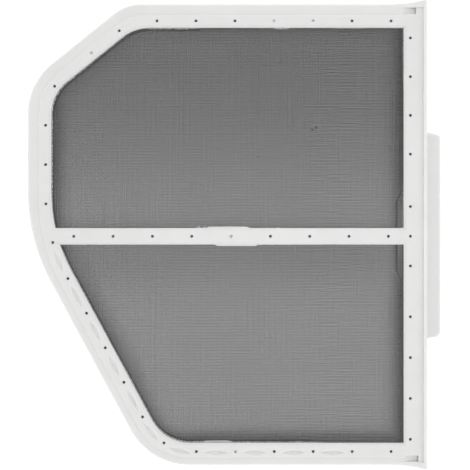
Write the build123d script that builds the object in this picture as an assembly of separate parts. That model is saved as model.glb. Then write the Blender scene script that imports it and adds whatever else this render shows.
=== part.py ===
from build123d import *
import os

# Lint screen lying on its back, in millimetres.
# X runs from the insertion edge to the handle and Y along the flange.
# Z runs from the resting plane up to the lint side.

# Plan of the border
overall_depth = 301.6       # insertion edge to the edge of the handle lip
frame_height = 337.0        # across the two rails
chamfer_run = 71.5          # upper corner, cut along X
chamfer_rise = 57.5         # upper corner, cut along Y
taper_run = 89.0            # lower flank, cut along X
taper_rise = 165.0          # lower flank, cut along Y
top_radius = 32.0           # rail to chamfer
shoulder_radius = 47.0      # chamfer to insertion edge
flank_radius = 140.0        # insertion edge to lower flank
heel_radius = 49.0          # lower flank to rail
border = 17.2               # outer edge to window
bottom_border = 16.2        # the same along the bottom
right_bar = 14.0            # window to flange
window_top_radius = 34.0
window_shoulder_radius = 30.0
window_flank_radius = 122.8
window_heel_radius = 31.8

# Section of the border
rail_top = 9.5              # height of the outer rail
land_step = 0.5             # rise from the rail to the land round the windows
upper_rail = 8.0            # rail width along the top, the chamfer and the insertion edge
lower_rail = 5.6            # rail width along the lower flank and the bottom
rail_rounding = 1.0         # rounded outer edges, front and back
land_rounding = 0.4
ledge_width = 1.5           # thin shut-off ledge round each window
ledge_drop = 0.4            # step from the land down to the ledge
wall_relief = 2.4           # wall behind the mesh, set back on the handle side
relief_top_x = -25.0        # start of the set-back along the top
relief_foot_x = 58.0        # start of the set-back along the bottom
relief_runout = 6.0

# Crossbar
crossbar_y = -1.2
crossbar_width = 12.0
gate_pad_length = 30.0      # widened ledge at the moulding gate, mid crossbar
gate_pad_reach = 1.1
gate_pad_thickness = 1.0
gate_pad_shift = 3.1        # the two pads sit this far either side of their common middle
gate_pad_x = -1.3

# Flange strip and its end gussets
flange_wall = 2.4
flange_rise = 2.0           # above the land
flange_overhang = 2.2       # flange end beyond the rail
flange_rounding = 0.3
flange_foot = 5.0           # land that runs along the foot of the flange
flange_cove = 1.2           # hollow rounding between that land and the flange
gusset_wall = 2.6
gusset_run = 20.6
pocket_width = 4.6          # cored pocket between gusset and land
pocket_run = 9.7
pocket_depth = 3.0
lower_pocket_reach = 1.7    # lower pocket, further towards the flange

# Handle lip and finger scoop
lip_reach = 10.3
lip_top = 9.2
lip_thickness = 2.6
lip_upper_end = 75.6        # upper end at the flange
lip_upper_drop = 3.2        # slant of the upper end
lip_upper_radius = 1.2
lip_lower_end = 75.2
lip_lower_radius = 5.0      # rounded corner of the lower end
lip_root_radius = 3.6       # lower end runs out into the flange
lip_root_run = 4.6
lip_rounding = 1.0
scoop_wall = 2.0
scoop_ceiling = 2.0
scoop_reach = 4.0           # wall of the scoop beyond the right bar, seen through the mesh
scoop_flat = 51.0           # width of the scoop's back wall
scoop_mouth = 138.7         # width of its block at the flange

# Moulding pin holes and sink marks
pin_radius = 1.1
pin_side_count = 10
pin_pitch = 28.5
pin_inset = 12.4            # outer edge to pin line
edge_pin_inset = 13.2       # the same along the insertion edge
bottom_pin_inset = 10.1     # the same along the bottom
right_pin_inset = 9.3       # flange to pin line
first_top_pin = 23.0        # beyond the corner of chamfer and rail
first_flank_pin = 25.8      # below the shoulder corner of the pin line
last_rail_pin = 23.4        # short of the flange
rail_pin_run = 142.2        # pins of the bottom rail, back from the last one
heel_pin_run = 49.8         # two closer gaps round the heel
first_chamfer_pin = 11.4    # down the chamfer from the upper corner of the pin line
second_chamfer_pin = 37.5
shoulder_pin = 73.6         # the same, at the rounded shoulder
shoulder_pin_shift = 2.0    # inwards from the pin line
crossbar_pin_left = 16.6    # from the left end of the window
crossbar_pin_right = 11.4   # from the right end of the window
centre_pin_step = 21.7      # pins beside the end of the crossbar
upper_column_start = 60.0   # first pin above the crossbar
upper_column_end = 7.6      # last pin below the window's top
lower_column_start = 58.8   # first pin below the crossbar
lower_column_end = 2.8      # last pin above the window's foot
sink_start = 107.6          # along the pin line of the flank, above it there are no sink marks
sink_length = 18.0
sink_width = 4.8
sink_floor_length = 9.0
sink_floor_width = 1.3
sink_depth = 1.1
sink_shift = 0.8            # outwards from the pin line

# Mesh
mesh_bottom = 7.0
mesh_thickness = 0.6
mesh_margin = 8.5           # held inside the border
slot_clearance = 0.1        # round the rim of the mesh
thread_pitch = 2.45
thread_gap = 0.8            # clear gap between neighbouring threads
thread_crown = 0.4          # flat top of a thread
thread_hidden = 0.5         # gap ends run this far under the ledge

# Derived places
half = frame_height / 2
land_top = rail_top + land_step
ledge_top = land_top - ledge_drop
flange_top = land_top + flange_rise
insertion_x = -overall_depth / 2
flange_outer_x = overall_depth / 2 - lip_reach
flange_inner_x = flange_outer_x - flange_wall
window_right_x = flange_inner_x - right_bar
mesh_top = mesh_bottom + mesh_thickness
crossbar_upper = crossbar_y + crossbar_width / 2
crossbar_lower = crossbar_y - crossbar_width / 2
window_upper = half - border
window_lower = -half + bottom_border

# Corners anticlockwise from the lower end of the flange, one side after each corner:
# flange side, top, chamfer, insertion edge, lower flank, bottom
outer_corners = [
    Vector(flange_inner_x, -half),
    Vector(flange_inner_x, half),
    Vector(insertion_x + chamfer_run, half),
    Vector(insertion_x, half - chamfer_rise),
    Vector(insertion_x, -half + taper_rise),
    Vector(insertion_x + taper_run, -half),
]
outer_radii = [0, 0, top_radius, shoulder_radius, flank_radius, heel_radius]


def inset(distances):
    """Corners of the border plan after each side has moved inwards by its own distance."""
    sides = []
    for start, end, distance in zip(outer_corners, outer_corners[1:] + outer_corners[:1], distances):
        along = (end - start).normalized()
        sides.append((start + Vector(-along.Y, along.X) * distance, along))
    corners = []
    for (before, before_along), (point, along) in zip(sides[-1:] + sides[:-1], sides):
        travel = (point - before).cross(along).Z / before_along.cross(along).Z
        corners.append(before + before_along * travel)
    return corners


def plan(distances, radii):
    """Face of the border plan, moved inwards and with rounded corners."""
    return make_face(FilletPolyline(*inset(distances), radius=radii, close=True))


def opening(growth):
    """Plan of both windows and the crossbar between them, grown outwards."""
    radii = [0, 0, window_top_radius, window_shoulder_radius, window_flank_radius, window_heel_radius]
    grown = [radius and radius + growth for radius in radii]
    widths = [right_bar, border, border, border, border, bottom_border]
    return plan([width - growth for width in widths], grown)


def windows(growth, low, high):
    """Prism of the two windows, grown outwards, between two heights."""
    bar = Pos(0, crossbar_y) * Rectangle(2 * overall_depth, crossbar_width - 2 * growth)
    return Pos(0, 0, low) * extrude(opening(growth) - bar, high - low)


def border_body():
    """Outer rail with its rounded edges, and the raised land round the windows."""
    rail = extrude(plan([0] * 6, outer_radii), rail_top)
    middle = rail_top / 2
    rims = rail.edges().filter_by(lambda edge: abs(edge.center().Z - middle) > middle / 2)
    rims = rims.filter_by(lambda edge: edge.center().X < flange_inner_x - rail_rounding)
    rail = fillet(rims, rail_rounding)
    rail_widths = [0, upper_rail, upper_rail, upper_rail, lower_rail, lower_rail]
    land_shoulder = shoulder_radius - upper_rail
    land_flank = flank_radius - upper_rail
    land_heel = heel_radius - lower_rail
    land_radii = [0, 0, top_radius, land_shoulder, land_flank, land_heel]
    land = extrude(plan(rail_widths, land_radii), land_top)
    rims = land.edges().filter_by(lambda edge: edge.center().Z > land_top - land_rounding)
    rims = rims.filter_by(lambda edge: edge.center().X < flange_inner_x - land_rounding)
    land = fillet(rims, land_rounding)
    foot_x = flange_inner_x - flange_foot / 2
    foot = Pos(foot_x, 0, land_top / 2) * Box(flange_foot, frame_height, land_top)
    return rail + land + foot


def wall_setback():
    """Set-back of the wall behind the mesh, along the handle side and the near ends of the rails."""
    bar = Pos(0, crossbar_y) * Rectangle(2 * overall_depth, crossbar_width)
    reach = make_face(Polyline(
        (relief_top_x, 0),
        (relief_foot_x, 0),
        (relief_foot_x, window_lower),
        (relief_foot_x + relief_runout, window_lower - wall_relief),
        (overall_depth, window_lower - wall_relief),
        (overall_depth, half),
        (relief_top_x, half),
        close=True,
    ))
    return extrude((opening(wall_relief) - bar) & reach, mesh_bottom)


def gate_pads():
    """Widened ledge on both sides of the crossbar at the moulding gate."""
    width = crossbar_width / 2 + gate_pad_reach
    height = gate_pad_thickness
    pads = []
    for side in (1, -1):
        x = gate_pad_x - side * gate_pad_shift
        place = Pos(x, crossbar_y + side * width / 2, mesh_top + height / 2)
        pads.append(place * Box(gate_pad_length, width, height))
    return pads


def flange():
    """Upright strip that closes the slot in the dryer, rounded along its upper edge."""
    profile = FilletPolyline(
        (flange_inner_x, 0),
        (flange_outer_x, 0),
        (flange_outer_x, flange_top),
        (flange_inner_x, flange_top),
        radius=[0, 0, flange_rounding, flange_rounding],
        close=True,
    )
    section = make_face(Plane.XZ * profile)
    return extrude(section, half + flange_overhang, both=True)


def cove():
    """Hollow rounding along the inner foot of the flange."""
    centre = (flange_inner_x - flange_cove, land_top + flange_cove)
    arc = CenterArc(centre, flange_cove, 270, 90)
    edges = arc + Polyline(arc @ 1, (flange_inner_x, land_top), arc @ 0)
    return extrude(make_face(Plane.XZ * edges), half, both=True)


def gusset():
    """Web that braces the upper end of the flange, flared in plan and rising to the flange's edge."""
    start_x = flange_inner_x - gusset_run
    end_x = flange_inner_x + flange_rounding
    inner_y = half - gusset_wall
    outer_y = half + flange_overhang
    flare = TangentArc((start_x, half), (end_x, outer_y), tangent=(1, 0))
    web_edges = flare + Polyline(flare @ 1, (end_x, inner_y), (start_x, inner_y), flare @ 0)
    web = extrude(make_face(web_edges), flange_top)
    rise = TangentArc((start_x, rail_top), (end_x, flange_top), tangent=(1, 0))
    side_edges = rise + Polyline(rise @ 1, (end_x, 0), (start_x, 0), rise @ 0)
    return web & extrude(make_face(Plane.XZ * side_edges), outer_y, both=True)


def pocket(side):
    """Cored pocket behind a gusset, its floor running out towards the window."""
    right = flange_inner_x - flange_foot + (lower_pocket_reach if side < 0 else 0)
    floor = rail_top - pocket_depth
    wedge = make_face(Plane.XZ * Polyline(
        (right, floor),
        (right, land_top),
        (right - pocket_run, land_top),
        (right - pocket_run, rail_top),
        close=True,
    ))
    outer = half - gusset_wall
    return Pos(0, side * (outer - pocket_width / 2), 0) * extrude(wedge, pocket_width / 2, both=True)


def lip():
    """Pull lip on the flange, slanted at its upper end and rounded at its lower end."""
    edge_x = overall_depth / 2
    root_x = flange_outer_x
    lower_end = -lip_lower_end
    outline = FilletPolyline(
        (root_x - flange_wall / 2, lower_end - lip_root_run),
        (root_x, lower_end - lip_root_run),
        (root_x, lower_end),
        (edge_x, lower_end),
        (edge_x, lip_upper_end - lip_upper_drop),
        (root_x - flange_wall / 2, lip_upper_end),
        radius=[0, 0, lip_root_radius, lip_lower_radius, lip_upper_radius, 0],
        close=True,
    )
    plate = extrude(make_face(outline), lip_thickness)
    middle = lip_thickness / 2
    rims = plate.edges().filter_by(lambda edge: abs(edge.center().Z - middle) > middle / 2)
    rims = rims.filter_by(lambda edge: edge.center().X > root_x + lip_reach / 3)
    return Pos(0, 0, lip_top - lip_thickness) * fillet(rims, lip_rounding)


def finger_scoop():
    """Block that holds the scoop, and the hollow to cut from it, open at the back and towards the hand."""
    back_x = window_right_x - scoop_reach
    run = flange_outer_x - back_x
    flared = make_face(Polyline(
        (0, -scoop_flat / 2),
        (run, -scoop_mouth / 2),
        (run, scoop_mouth / 2),
        (0, scoop_flat / 2),
        close=True,
    ))
    inside = Pos(run / 2, 0) * Rectangle(run, scoop_mouth)
    place = Pos(back_x, crossbar_y)
    block = extrude(place * flared, mesh_bottom)
    hollow_plan = place * ((Pos(scoop_wall, 0) * flared) & inside)
    hollow = extrude(hollow_plan, mesh_bottom - scoop_ceiling)
    return block, hollow


def spread(first, last):
    """Evenly spaced values between two ends, about one pin pitch apart."""
    gaps = max(1, round(abs(last - first) / pin_pitch))
    return [first + (last - first) * step / gaps for step in range(gaps + 1)]


def flank_path():
    """Pin line down the insertion edge, along the lower flank and along the bottom."""
    corners = inset([0, pin_inset, pin_inset, edge_pin_inset, pin_inset, bottom_pin_inset])
    radii = [flank_radius - pin_inset, heel_radius - bottom_pin_inset]
    return Wire(FilletPolyline(*corners[3:], corners[0], radius=radii).edges())


def flank_pin_lengths(path):
    """Distances along the flank path at which its pins stand."""
    last = path.length - last_rail_pin
    rail = last - rail_pin_run
    heel = rail - heel_pin_run
    return spread(first_flank_pin, heel) + spread(heel, rail)[1:] + spread(rail, last)[1:]


def pin_places(path):
    """Centres of all moulding pins in plan."""
    places = [path.position_at(length, PositionMode.LENGTH) for length in flank_pin_lengths(path)]
    top_y = half - pin_inset
    for x in spread(insertion_x + chamfer_run + first_top_pin, flange_inner_x - last_rail_pin):
        places.append(Vector(x, top_y))
    corners = inset([pin_inset] * 6)
    down_chamfer = (corners[3] - corners[2]).normalized()
    for length in (first_chamfer_pin, second_chamfer_pin):
        places.append(corners[2] + down_chamfer * length)
    inwards = Vector(-down_chamfer.Y, down_chamfer.X)
    places.append(corners[2] + down_chamfer * shoulder_pin + inwards * shoulder_pin_shift)
    column_x = flange_inner_x - right_pin_inset
    for y in (-centre_pin_step, 0, centre_pin_step):
        places.append(Vector(column_x, crossbar_y + y))
    for y in spread(crossbar_y + upper_column_start, window_upper - upper_column_end):
        places.append(Vector(column_x, y))
    for y in spread(crossbar_y - lower_column_start, window_lower + lower_column_end):
        places.append(Vector(column_x, y))
    bar_start = insertion_x + border + crossbar_pin_left
    for x in spread(bar_start, window_right_x - crossbar_pin_right):
        places.append(Vector(x, crossbar_y))
    return places


def pins(path):
    """Many-sided pin holes from the land down to the mesh."""
    hole = Pos(0, 0, mesh_top) * extrude(RegularPolygon(pin_radius, pin_side_count), land_top - mesh_top)
    return [Pos(place.X, place.Y) * hole for place in pin_places(path)]


def lens(length, width):
    """Plan of a sink mark, two arcs that meet in points."""
    ends = (-length / 2, 0), (length / 2, 0)
    upper = ThreePointArc(ends[0], (0, width / 2), ends[1])
    lower = ThreePointArc(ends[1], (0, -width / 2), ends[0])
    return make_face(upper + lower)


def sinks(path):
    """Lens-shaped sink marks between the pins of the lower flank and the bottom."""
    rim = lens(sink_length, sink_width)
    floor = Pos(0, 0, -sink_depth) * lens(sink_floor_length, sink_floor_width)
    mark = loft([floor, rim], ruled=True)
    lengths = flank_pin_lengths(path)
    marks = []
    for before, after in zip(lengths[:-2], lengths[1:-1]):
        if before < sink_start:
            continue
        middle = (before + after) / 2
        along = path.tangent_at(middle, PositionMode.LENGTH)
        outwards = Vector(along.Y, -along.X)
        center = path.position_at(middle, PositionMode.LENGTH) + outwards * sink_shift
        marks.append(Plane(origin=(center.X, center.Y, land_top), x_dir=along) * mark)
    return marks


def make_frame():
    """Border, crossbar, flange, handle lip and finger scoop as one moulding."""
    path = flank_path()
    brace = gusset()
    body = border_body() + flange() + cove() + brace + mirror(brace, about=Plane.XZ)
    body -= windows(0, 0, land_top)
    body -= wall_setback()
    body -= windows(ledge_width, ledge_top, land_top)
    body += gate_pads()
    rim = opening(mesh_margin + slot_clearance)
    body -= Pos(0, 0, mesh_bottom) * extrude(rim, mesh_thickness)
    block, hollow = finger_scoop()
    body = body + block - hollow + lip()
    body -= [pocket(1), pocket(-1)]
    body -= sinks(path)
    return body - pins(path)


def thread_gaps():
    """Gaps between the cross threads of both windows, waisted so that each thread is left rounded."""
    reach = mesh_thickness
    waist = thread_gap / 2
    mouth = (thread_pitch - thread_crown) / 2
    flare = waist + (mouth - waist) * reach / (mesh_thickness / 2)
    middle = mesh_bottom + mesh_thickness / 2
    gaps = []
    for low, high in ((window_lower, crossbar_lower), (crossbar_upper, window_upper)):
        count = int((high - low) / thread_pitch)
        first = (low + high - (count - 1) * thread_pitch) / 2
        for row in range(count):
            y = first + row * thread_pitch
            section = make_face(Plane.YZ * Polyline(
                (y - flare, middle - reach),
                (y + flare, middle - reach),
                (y + waist, middle),
                (y + flare, middle + reach),
                (y - flare, middle + reach),
                (y - waist, middle),
                close=True,
            ))
            gaps.append(Pos(insertion_x, 0, 0) * extrude(section, overall_depth))
    return gaps


def make_mesh():
    """Woven sheet with a plain margin and open threads in the two windows."""
    sheet = Pos(0, 0, mesh_bottom) * extrude(opening(mesh_margin), mesh_thickness)
    field = windows(thread_hidden, mesh_bottom - mesh_thickness, mesh_top + mesh_thickness)
    return sheet - [gap & field for gap in thread_gaps()]


os.makedirs("parts", exist_ok=True)
for name, shape in (("frame", make_frame()), ("mesh", make_mesh())):
    shape.label = name
    export_step(shape, f"parts/{name}.step")
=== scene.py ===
import math
import random

import bpy
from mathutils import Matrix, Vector, geometry, noise


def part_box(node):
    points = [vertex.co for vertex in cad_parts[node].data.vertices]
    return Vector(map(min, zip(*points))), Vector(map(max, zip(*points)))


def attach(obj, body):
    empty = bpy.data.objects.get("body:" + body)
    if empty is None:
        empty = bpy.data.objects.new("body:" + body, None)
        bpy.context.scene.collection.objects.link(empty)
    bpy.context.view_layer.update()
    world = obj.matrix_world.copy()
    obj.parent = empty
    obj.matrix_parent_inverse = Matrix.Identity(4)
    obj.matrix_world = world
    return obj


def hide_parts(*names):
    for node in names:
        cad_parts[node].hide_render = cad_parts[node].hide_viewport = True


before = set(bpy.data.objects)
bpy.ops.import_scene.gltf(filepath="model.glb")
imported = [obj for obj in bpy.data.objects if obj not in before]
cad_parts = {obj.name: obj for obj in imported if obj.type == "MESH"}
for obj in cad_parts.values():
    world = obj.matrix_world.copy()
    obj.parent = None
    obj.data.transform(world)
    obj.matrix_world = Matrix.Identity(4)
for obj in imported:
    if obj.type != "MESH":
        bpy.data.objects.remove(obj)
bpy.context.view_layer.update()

# A lint screen lying on its back under soft studio light, seen square on from above.
# Lengths are in millimetres until they reach Blender, which works in metres.
MM = 0.001

# Camera
lens_height = 560.0         # above the part's back
lens_x = 0.72
lens_y = -0.26
seen_width = 343.1          # width of the picture on the raised land of the border
land_top = 10.0

# Mesh and border, as the moulding has them
sheet_low, sheet_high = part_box("mesh")
mesh_middle = (sheet_low.z + sheet_high.z) / 2 / MM
ledge_bottom = sheet_high.z / MM
mesh_margin = 8.5           # rim of the sheet that the border holds
corner_gap = 0.1            # points of the sheet's outline closer than this are one corner
crossbar_upper = 4.8
crossbar_lower = -7.2

# Weave
weave_seed = 7
weft_pitch = 0.55           # threads along X
warp_pitch = 0.445          # threads along Y
thread_width = 0.175
thread_height = 0.17
thread_short = 0.3          # threads end this far inside the sheet's rim
weft_step = 9.0             # length of one straight stretch of a thread
warp_step = 24.0
end_stretches = (0.0, 8.2, 11.2, 14.2, 18.2, 24.2)      # places of shorter ones near both ends
thread_jitter = 0.04        # uneven spacing from thread to thread
weft_pairing = 0.34         # every other thread is thicker by this share, its neighbour thinner
warp_pairing = 0.25
cloth_wander = 0.35         # slow drift of neighbouring threads together
cloth_wave = 55.0           # length of that drift
cloth_layer = 10.0          # keeps the drifts of weft and warp apart in the noise
ripple_x = 76.0             # band in which the weft has been pulled into ripples
ripple_width = 26.0
ripple_depth = 0.42
ripple_gap = 1.2            # about half the distance from ripple to ripple
ripple_run = 9.0

# Painted shade and shadow on the mesh: the threads are widened, which narrows the gaps and darkens
# it: shares of the thread width
shade_top = 0.21             # painted shade, at the upper end of the sheet
shade_foot = -0.12           # from the middle down
shade_full_y = 140.0
shade_thin_y = -20.0
edge_shadow = 0.39            # painted shadow of the border, added along it
edge_shadow_top = -0.34       # less of it along the top side
edge_shadow_foot = 0.15       # and more from the middle down
edge_shadow_bottom = 0.10     # and along the bottom side
shadow_slant = 0.5            # less of it along the slanting flank
shadow_reach = 7.2
shadow_reach_bottom = 6.2
shadow_clear = 2.4            # strip beside the edge free of painted shadow, but not at the right and the flank
right_facing = -0.5         # a side is the right one if its inward direction has less X than this
flank_share = 0.95          # and it is the flank if it takes less than this share of the painted shadow
scoop_y = -1.2              # patch at the right free of painted shadow, where the finger scoop lies against the mesh
scoop_half = 26.0
scoop_fade = 12.0
scoop_clear = (2.0, 6.5)    # distances from the edge between which the painted shadow sets in
bar_shadow = 0.26             # painted shadow added above the crossbar
bar_shadow_reach = 3.5
dip_shadow = 0.16             # painted shadow in a band below the crossbar
dip_shadow_y = -19.0
dip_shadow_reach = 17.0

# Mould flash on the mesh along the window edges
flash_thickness = 0.3
flash_fall = flash_thickness / 3        # its top is lower by this at the teeth
flash_step = 0.45
flash_root = 0.4            # part of the film inside the ledge
flash_tuck = 0.1            # depth of that root under the ledge
flash_tooth = 1.1           # length of one tooth
tooth_noise = (-0.1, 0.2)   # noise at which a tooth begins and is full
ragged_onset = 2.5          # how steeply a ragged place sets in from its rim
# Ragged places: middle x, middle y, radius, reach, height of the teeth
ragged_places = (
    (-108.0, -45.0, 50.0, 0.15, 0.45),
    (-66.0, -118.0, 50.0, 0.15, 0.60),
    (-28.0, -150.0, 32.0, 0.20, 1.00),
    (-12.0, -152.0, 13.0, 1.30, 0.40),
    (30.0, -150.0, 40.0, 0.20, 0.90),
    (-131.0, 70.0, 60.0, 0.15, 0.90),
    (-105.0, 118.0, 50.0, 0.10, 0.70),
    (-45.0, 151.0, 22.0, 0.15, 0.90),
    (35.0, 151.0, 6.0, 0.45, 0.80),
    (85.0, 151.0, 14.0, 0.05, 0.50),
    (124.0, 132.0, 26.0, 0.05, 0.50),
    (124.0, 20.0, 20.0, 0.05, 0.70),
    (-22.5, 4.8, 8.0, 0.30, 1.60),
    (0.0, 4.8, 12.0, 0.90, 0.90),
    (30.0, -7.2, 18.0, 0.10, 0.60),
)

# Pin holes that have filled with plastic: middle x, middle y, top of the filling
filled_pins = (
    (-104.16, 132.6, 8.7),
    (29.2, 156.1, 9.5),
    (57.7, 156.1, 8.8),
    (-2.15, -1.2, 8.6),
    (0.94, -158.4, 8.7),
)
pin_radius = 1.1
pin_sides = 10
filling_dish = 0.3          # depth of the hollow in its top

# Bits of lint caught on the mesh: middle x, middle y, size
lint_bits = (
    (57.0, 76.4, 1.5),
    (60.4, 78.2, 1.1),
    (17.5, 56.8, 1.0),
)
lint_seed = 11
lint_fibres = 7
lint_width = 0.22
lint_stretches = 4          # straight ones in a fibre
lint_bend = 1.2             # most that a fibre turns along its run, in radians
lint_scatter = 0.2          # spread of the fibres, as a share of the size

# Materials: a pair of colours is mixed by noise, or from thread to thread
mix_ends = (0.3, 0.7)       # values at which the mix begins and ends
plastic_colours = ((0.735, 0.735, 0.73), (0.755, 0.755, 0.75))
plastic_roughness = 0.42
plastic_specular = 0.35
plastic_depth = 2.0         # how far light spreads inside it
plastic_clouds = 60.0       # scale of the noise in its colour
plastic_grain = 1400.0      # scale of the noise in its relief
plastic_relief = 0.1
plastic_relief_share = 0.12
thread_colours = ((0.05, 0.05, 0.05), (0.09, 0.09, 0.09))
thread_roughness = 0.45
thread_specular = 0.4
lint_colours = ((0.015, 0.014, 0.014), (0.04, 0.038, 0.037))
lint_roughness = 0.9
lint_grain = 900.0
paper_colours = ((0.95, 0.95, 0.95), (0.96, 0.96, 0.96))
paper_roughness = 0.9
paper_grain = 3.0
paper_glow = 0.12           # lift of the white background, as the camera and reflections see it

# Pull lip, painted a little darker than the rest as painted shade
lip_start = 140.6
lip_blend = 0.6
lip_shade = 0.95

# Floor and light
floor_side = 3000.0
floor_drop = 0.2
tent_top = 0.25             # brightness of the light tent overhead
tent_side = 1.15            # and at its foot, all round
sun_strength = 1.15
sun_angle = 25.0            # apparent width of the overhead light, in degrees
sun_lean = 5.0              # it stands this far towards +X, in degrees


def material(name, roughness):
    """New node material and its Principled shader."""
    made = bpy.data.materials.new(name)
    made.use_nodes = True
    shader = made.node_tree.nodes["Principled BSDF"]
    shader.inputs["Roughness"].default_value = roughness
    return made, shader


def grain(made, scale, detail=2.0):
    """Noise in object space."""
    nodes = made.node_tree.nodes
    coordinates = nodes.new("ShaderNodeTexCoord")
    texture = nodes.new("ShaderNodeTexNoise")
    texture.inputs["Scale"].default_value = scale
    texture.inputs["Detail"].default_value = detail
    made.node_tree.links.new(coordinates.outputs["Object"], texture.inputs["Vector"])
    return texture.outputs["Fac"]


def ramp(made, source, colours):
    """Two colours mixed by a value."""
    node = made.node_tree.nodes.new("ShaderNodeValToRGB")
    for element, position, colour in zip(node.color_ramp.elements, mix_ends, colours):
        element.position = position
        element.color = (*colour, 1)
    made.node_tree.links.new(source, node.inputs["Fac"])
    return node.outputs["Color"]


def bump(made, shader, source, strength, distance):
    """Fine relief of a surface."""
    node = made.node_tree.nodes.new("ShaderNodeBump")
    node.inputs["Strength"].default_value = strength
    node.inputs["Distance"].default_value = distance
    made.node_tree.links.new(source, node.inputs["Height"])
    made.node_tree.links.new(node.outputs["Normal"], shader.inputs["Normal"])


def lip_shaded(made, colour):
    """The colour, darkened on the pull lip as painted shade."""
    nodes = made.node_tree.nodes
    links = made.node_tree.links
    coordinates = nodes.new("ShaderNodeTexCoord")
    parts = nodes.new("ShaderNodeSeparateXYZ")
    share = nodes.new("ShaderNodeMapRange")
    share.inputs["From Min"].default_value = lip_start * MM
    share.inputs["From Max"].default_value = (lip_start + lip_blend) * MM
    share.inputs["To Min"].default_value = 1.0
    share.inputs["To Max"].default_value = lip_shade
    shaded_colour = nodes.new("ShaderNodeVectorMath")
    shaded_colour.operation = "SCALE"
    links.new(coordinates.outputs["Object"], parts.inputs["Vector"])
    links.new(parts.outputs["X"], share.inputs["Value"])
    links.new(colour, shaded_colour.inputs[0])
    links.new(share.outputs["Result"], shaded_colour.inputs["Scale"])
    return shaded_colour.outputs["Vector"]


def white_plastic():
    """Satin white polypropylene with the slight cloudiness of a moulding."""
    made, shader = material("white_plastic", plastic_roughness)
    colour = ramp(made, grain(made, plastic_clouds, detail=3.0), plastic_colours)
    # painted shade: the colour is darkened on the pull lip
    made.node_tree.links.new(lip_shaded(made, colour), shader.inputs["Base Color"])
    shader.inputs["Specular IOR Level"].default_value = plastic_specular
    shader.inputs["Subsurface Weight"].default_value = 1.0
    shader.inputs["Subsurface Radius"].default_value = (1.0, 1.0, 1.0)
    shader.inputs["Subsurface Scale"].default_value = plastic_depth * MM
    bump(made, shader, grain(made, plastic_grain), plastic_relief_share, plastic_relief * MM)
    return made


def grey_thread():
    """Grey polyester monofilament, each thread a little paler or darker than the next."""
    made, shader = material("grey_thread", thread_roughness)
    island = made.node_tree.nodes.new("ShaderNodeNewGeometry")
    colour = ramp(made, island.outputs["Random Per Island"], thread_colours)
    made.node_tree.links.new(colour, shader.inputs["Base Color"])
    shader.inputs["Specular IOR Level"].default_value = thread_specular
    return made


def dark_lint():
    """Dark fibre fluff."""
    made, shader = material("dark_lint", lint_roughness)
    colour = ramp(made, grain(made, lint_grain), lint_colours)
    made.node_tree.links.new(colour, shader.inputs["Base Color"])
    return made


def floor_paper():
    """White studio paper, lifted for the camera and for what mirrors or lets through the view."""
    made, shader = material("floor_paper", paper_roughness)
    colour = ramp(made, grain(made, paper_grain), paper_colours)
    made.node_tree.links.new(colour, shader.inputs["Base Color"])
    shader.inputs["Specular IOR Level"].default_value = 0.0
    nodes = made.node_tree.nodes
    links = made.node_tree.links
    rays = nodes.new("ShaderNodeLightPath")
    seen = rays.outputs["Is Camera Ray"]
    for kind in ("Is Glossy Ray", "Is Transmission Ray"):
        either = nodes.new("ShaderNodeMath")
        either.operation = "MAXIMUM"
        links.new(seen, either.inputs[0])
        links.new(rays.outputs[kind], either.inputs[1])
        seen = either.outputs["Value"]
    glow = nodes.new("ShaderNodeMath")
    glow.operation = "MULTIPLY"
    glow.inputs[1].default_value = paper_glow
    links.new(seen, glow.inputs[0])
    links.new(glow.outputs["Value"], shader.inputs["Emission Strength"])
    shader.inputs["Emission Color"].default_value = (1, 1, 1, 1)
    return made


def area_of(outline):
    """Area of a plan outline, positive if it runs anticlockwise."""
    pairs = zip(outline, outline[1:] + outline[:1])
    return sum(a.x * b.y - b.x * a.y for a, b in pairs) / 2


def sheet_outline():
    """Plan of the mesh sheet, anticlockwise, from its solid."""
    points = [vertex.co.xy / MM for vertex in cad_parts["mesh"].data.vertices]
    hull = [points[index] for index in geometry.convex_hull_2d(points)]
    pairs = zip(hull, hull[-1:] + hull[:-1])
    outline = [here for here, before in pairs if (here - before).length > corner_gap]
    if area_of(outline) < 0:
        outline.reverse()
    return outline


def inset(outline, distance):
    """Convex outline with every side moved inwards."""
    moved = []
    for before, here, after in zip(outline[-1:] + outline[:-1], outline, outline[1:] + outline[:1]):
        arriving = (here - before).normalized()
        leaving = (after - here).normalized()
        turn = arriving + leaving
        inwards = Vector((-turn.y, turn.x)).normalized()
        slant = inwards.dot(Vector((-leaving.y, leaving.x)))
        moved.append(here + inwards * distance / slant)
    return moved


def cut(outline, y, keep_above):
    """Part of a convex outline above or below a line across it."""
    sign = 1 if keep_above else -1
    kept = []
    for here, after in zip(outline, outline[1:] + outline[:1]):
        if sign * (here.y - y) >= 0:
            kept.append(here)
        if (here.y - y) * (after.y - y) < 0:
            kept.append(here.lerp(after, (y - here.y) / (after.y - here.y)))
    return kept


def span(outline, axis, place):
    """Where a line across the sheet enters and leaves its outline. Axis 0 is a line along Y."""
    crossings = []
    for here, after in zip(outline, outline[1:] + outline[:1]):
        if (here[axis] - place) * (after[axis] - place) < 0:
            share = (place - here[axis]) / (after[axis] - here[axis])
            crossings.append(here[1 - axis] + (after[1 - axis] - here[1 - axis]) * share)
    return (min(crossings), max(crossings)) if crossings else None


def sides_of(outline):
    """Both corners and the inward direction of every side of an outline."""
    for here, after in zip(outline, outline[1:] + outline[:1]):
        along = (after - here).normalized()
        yield here, after, Vector((-along.y, along.x))


def evenly(outline, step):
    """Points and inward directions at even distances round an outline."""
    for here, after, inwards in sides_of(outline):
        count = max(1, round((after - here).length / step))
        for share in range(count):
            yield here.lerp(after, share / count), inwards


def fade(value, start, end):
    """Smooth change from 0 at the start to 1 at the end."""
    share = min(1.0, max(0.0, (value - start) / (end - start)))
    return share * share * (3 - 2 * share)


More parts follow.
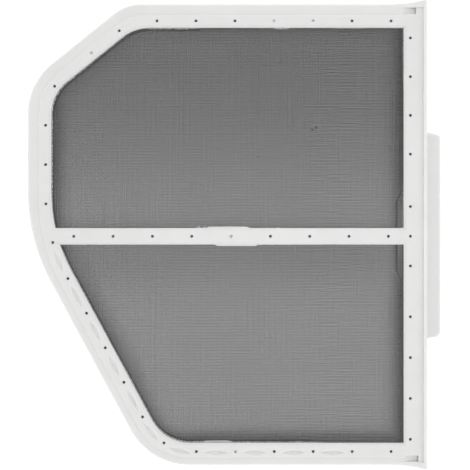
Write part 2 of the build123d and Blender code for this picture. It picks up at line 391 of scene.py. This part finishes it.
def add_thread(points, faces, path, widths, height):
    """Three-sided thread with closed ends along a path, added to lists of points and faces."""
    first = len(points)
    for here, before, after, width in zip(path, path[:1] + path[:-1], path[1:] + path[-1:], widths):
        along = (after - before).normalized()
        side = Vector((-along.y, along.x, 0)).normalized() * width / 2
        rise = Vector((0, 0, height / 2))
        points += [here + side - rise, here + rise, here - side - rise]
    for station in range(len(path) - 1):
        ring = first + 3 * station
        for corner in range(3):
            beside = (corner + 1) % 3
            faces.append((ring + beside, ring + 3 + beside, ring + 3 + corner, ring + corner))
    last = first + 3 * (len(path) - 1)
    faces.append((first + 2, first + 1, first))
    faces.append((last, last + 1, last + 2))


def drift(x, y, axis):
    """Slow drift of the threads across their run."""
    place = Vector((x / cloth_wave, y / cloth_wave, cloth_layer * axis))
    return cloth_wander * noise.noise(place)


def ripple(x, y):
    """Pull of a weft thread towards its neighbours."""
    pull = math.exp(-((x - ripple_x) / ripple_width) ** 2)
    return ripple_depth * pull * noise.noise(Vector((x / ripple_run, y / ripple_gap, 0)))


def painted_edge_shadow(sides, x, y, lower):
    """Painted shadow of the border and the crossbar, as a widening of the threads beside them.
    Lower is 1 from the middle down.
    """
    # painted shadow in bands below and above the crossbar
    painted_shade = dip_shadow * math.exp(-((y - dip_shadow_y) / dip_shadow_reach) ** 2)
    if y > crossbar_upper:
        painted_shade = bar_shadow * math.exp((crossbar_upper - y) / bar_shadow_reach)
    for corner, _, inwards in sides:
        distance = max(0.0, (x - corner.x) * inwards.x + (y - corner.y) * inwards.y)
        top, bottom = max(0.0, -inwards.y), max(0.0, inwards.y)
        most = edge_shadow + edge_shadow_top * top + edge_shadow_foot * lower + edge_shadow_bottom * bottom
        reach = shadow_reach + (shadow_reach_bottom - shadow_reach) * bottom
        slant = 1 - shadow_slant * max(0.0, inwards.x * inwards.y)
        side_shadow = slant * most * math.exp(-(distance / (slant * reach)) ** 2)
        if inwards.x < right_facing:
            beside = fade(abs(y - scoop_y), scoop_half + scoop_fade, scoop_half)
            side_shadow *= 1 - beside * (1 - fade(distance, *scoop_clear))
        elif slant > flank_share:
            side_shadow *= fade(distance, 0.0, shadow_clear)
        painted_shade = max(painted_shade, side_shadow)
    return painted_shade


def stations(start, end, step):
    """Places along a thread, close together near both ends."""
    near = end_stretches[-1]
    if end - start < 2 * near + step:
        count = max(2, round((end - start) / step))
        return [start + (end - start) * number / count for number in range(count + 1)]
    middle = max(1, round((end - start - 2 * near) / step))
    length = (end - start - 2 * near) / middle
    places = [start + place for place in end_stretches]
    places += [start + near + number * length for number in range(1, middle)]
    return places + [end - place for place in reversed(end_stretches)]


def weave(outline):
    """Points and faces of all weft and warp threads. The weft lies on the warp."""
    draw = random.Random(weave_seed)
    points, faces = [], []
    sides = list(sides_of(inset(outline, mesh_margin)))
    low = Vector((min(p.x for p in outline), min(p.y for p in outline)))
    high = Vector((max(p.x for p in outline), max(p.y for p in outline)))

    def width(x, y, pairing):
        # threads widened as painted shade, darker towards the top, and as painted shadow beside the
        # border and crossbar
        lower = fade(y, shade_full_y, shade_thin_y)
        painted_shade = shade_top + (shade_foot - shade_top) * lower + painted_edge_shadow(sides, x, y, lower)
        return thread_width * (1 + painted_shade + pairing)

    for axis, pitch, step, pairing, height in (
        (1, weft_pitch, weft_step, weft_pairing, mesh_middle + thread_height / 2),
        (0, warp_pitch, warp_step, warp_pairing, mesh_middle - thread_height / 2),
    ):
        for number in range(1, int((high[axis] - low[axis]) / pitch)):
            place = low[axis] + number * pitch
            ends = span(outline, axis, place)
            if ends is None:
                continue
            path, widths = [], []
            for run in stations(*ends, step):
                x, y = (run, place) if axis else (place, run)
                offset = drift(x, y, axis) + draw.gauss(0, thread_jitter)
                if axis:
                    path.append(Vector((x, y + offset + ripple(x, y), height)))
                else:
                    path.append(Vector((x + offset, y, height)))
                widths.append(width(x, y, pairing if number % 2 else -pairing))
            add_thread(points, faces, path, widths, thread_height)
    return points, faces


def flash_reach(place, run):
    """How far the film reaches onto the mesh at a place on the window edge."""
    reach = 0.0
    for x, y, radius, base, tooth in ragged_places:
        near = 1 - min(1.0, math.hypot(place.x - x, place.y - y) / radius)
        ragged = fade(noise.noise(Vector((run / flash_tooth, x, y))), *tooth_noise)
        reach = max(reach, min(1.0, ragged_onset * near) * (base + tooth * ragged))
    return reach


def new_piece(name, points, faces, surface, smooth=False):
    """Mesh object from points in millimetres."""
    mesh = bpy.data.meshes.new(name)
    mesh.from_pydata([Vector(point) * MM for point in points], [], faces)
    mesh.materials.append(surface)
    if smooth:
        mesh.shade_smooth()
    mesh.update()
    piece = bpy.data.objects.new(name, mesh)
    bpy.context.scene.collection.objects.link(piece)
    return piece


def make_mesh(surface):
    """Woven sheet, stretched in the moulding."""
    outline = sheet_outline()
    points, faces = weave(inset(outline, thread_short))
    piece = new_piece("woven_mesh", points, faces, surface, smooth=True)
    area = area_of(outline) * MM * MM
    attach(piece, "root")
    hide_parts("mesh")


def make_flash(surface):
    """Thin ragged film that the mould left on the mesh along the window edges."""
    opening = inset(sheet_outline(), mesh_margin)
    points, faces = [], []
    low = mesh_middle + thread_height
    high = ledge_bottom + flash_thickness / 2
    for window in (cut(opening, crossbar_upper, True), cut(opening, crossbar_lower, False)):
        first = len(points)
        edge = list(evenly(window, flash_step))
        for number, (place, inwards) in enumerate(edge):
            reach = flash_reach(place, number * flash_step)
            inner = place + inwards * reach
            outer = place - inwards * flash_root
            points += [
                Vector((*outer, ledge_bottom - flash_tuck)),
                Vector((*outer, high)),
                Vector((*inner, high - flash_fall)),
                Vector((*inner, low)),
            ]
        for number in range(len(edge)):
            ring = first + 4 * number
            after = first + 4 * ((number + 1) % len(edge))
            for corner in range(4):
                beside = (corner + 1) % 4
                faces.append((ring + corner, after + corner, after + beside, ring + beside))
    piece = new_piece("mould_flash", points, faces, surface)
    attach(piece, "root")


def make_fillings(surface):
    """Plastic that has filled a few pin holes, dished at the top."""
    points, faces = [], []
    for x, y, top in filled_pins:
        lower = len(points)
        upper = lower + pin_sides
        centre = upper + pin_sides
        for height in (ledge_bottom, top):
            for side in range(pin_sides):
                turn = 2 * math.pi * side / pin_sides
                across = pin_radius * math.cos(turn)
                along = pin_radius * math.sin(turn)
                points.append(Vector((x + across, y + along, height)))
        points.append(Vector((x, y, top - filling_dish)))
        for side in range(pin_sides):
            beside = (side + 1) % pin_sides
            faces.append((lower + side, lower + beside, upper + beside, upper + side))
            faces.append((upper + side, upper + beside, centre))
        faces.append(tuple(lower + side for side in reversed(range(pin_sides))))
    piece = new_piece("pin_fillings", points, faces, surface)
    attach(piece, "root")


def make_lint(surface):
    """Small tangles of fibre caught on the mesh."""
    draw = random.Random(lint_seed)
    points, faces = [], []
    height = mesh_middle + thread_height + lint_width / 2
    for x, y, size in lint_bits:
        scatter = size * lint_scatter
        for _ in range(lint_fibres):
            turn = draw.uniform(0, math.pi)
            bend = draw.uniform(-lint_bend, lint_bend)
            path = [Vector((x + draw.gauss(0, scatter), y + draw.gauss(0, scatter), height))]
            for stretch in range(lint_stretches):
                heading = turn + bend * stretch / (lint_stretches - 1)
                move = Vector((math.cos(heading), math.sin(heading), 0)) * size / lint_stretches
                path.append(path[-1] + move)
            add_thread(points, faces, path, [lint_width] * len(path), lint_width)
    piece = new_piece("lint_bits", points, faces, surface, smooth=True)
    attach(piece, "root")


def make_floor():
    """Plain white floor."""
    half = floor_side / 2
    corners = [(-half, -half), (half, -half), (half, half), (-half, half)]
    points = [Vector((x, y, -floor_drop)) for x, y in corners]
    new_piece("floor", points, [(0, 1, 2, 3)], floor_paper())


def make_light():
    """Light tent that is brighter at its sides, and a wide soft light overhead."""
    world = bpy.data.worlds.new("tent")
    world.use_nodes = True
    nodes = world.node_tree.nodes
    links = world.node_tree.links
    direction = nodes.new("ShaderNodeTexCoord")
    parts = nodes.new("ShaderNodeSeparateXYZ")
    square = nodes.new("ShaderNodeMath")
    square.operation = "MULTIPLY"
    strength = nodes.new("ShaderNodeMapRange")
    strength.inputs["To Min"].default_value = tent_side
    strength.inputs["To Max"].default_value = tent_top
    links.new(direction.outputs["Generated"], parts.inputs["Vector"])
    links.new(parts.outputs["Z"], square.inputs[0])
    links.new(parts.outputs["Z"], square.inputs[1])
    links.new(square.outputs["Value"], strength.inputs["Value"])
    links.new(strength.outputs["Result"], nodes["Background"].inputs["Strength"])
    nodes["Background"].inputs["Color"].default_value = (1, 1, 1, 1)
    bpy.context.scene.world = world
    lamp = bpy.data.lights.new("overhead", "SUN")
    lamp.energy = sun_strength
    lamp.angle = math.radians(sun_angle)
    light = bpy.data.objects.new("overhead", lamp)
    light.rotation_euler = (0, math.radians(sun_lean), 0)
    bpy.context.scene.collection.objects.link(light)


def make_camera():
    """Camera straight above, as the photograph was taken."""
    data = bpy.data.cameras.new("camera")
    data.lens = data.sensor_width * (lens_height - land_top) / seen_width
    camera = bpy.data.objects.new("camera", data)
    camera.location = Vector((lens_x, lens_y, lens_height)) * MM
    bpy.context.scene.collection.objects.link(camera)
    bpy.context.scene.camera = camera


plastic = white_plastic()
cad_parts["frame"].data.materials.clear()
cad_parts["frame"].data.materials.append(plastic)
make_mesh(grey_thread())
make_flash(plastic)
make_fillings(plastic)
make_lint(dark_lint())
make_floor()
make_light()
make_camera()
bpy.context.scene.view_settings.view_transform = "Standard"
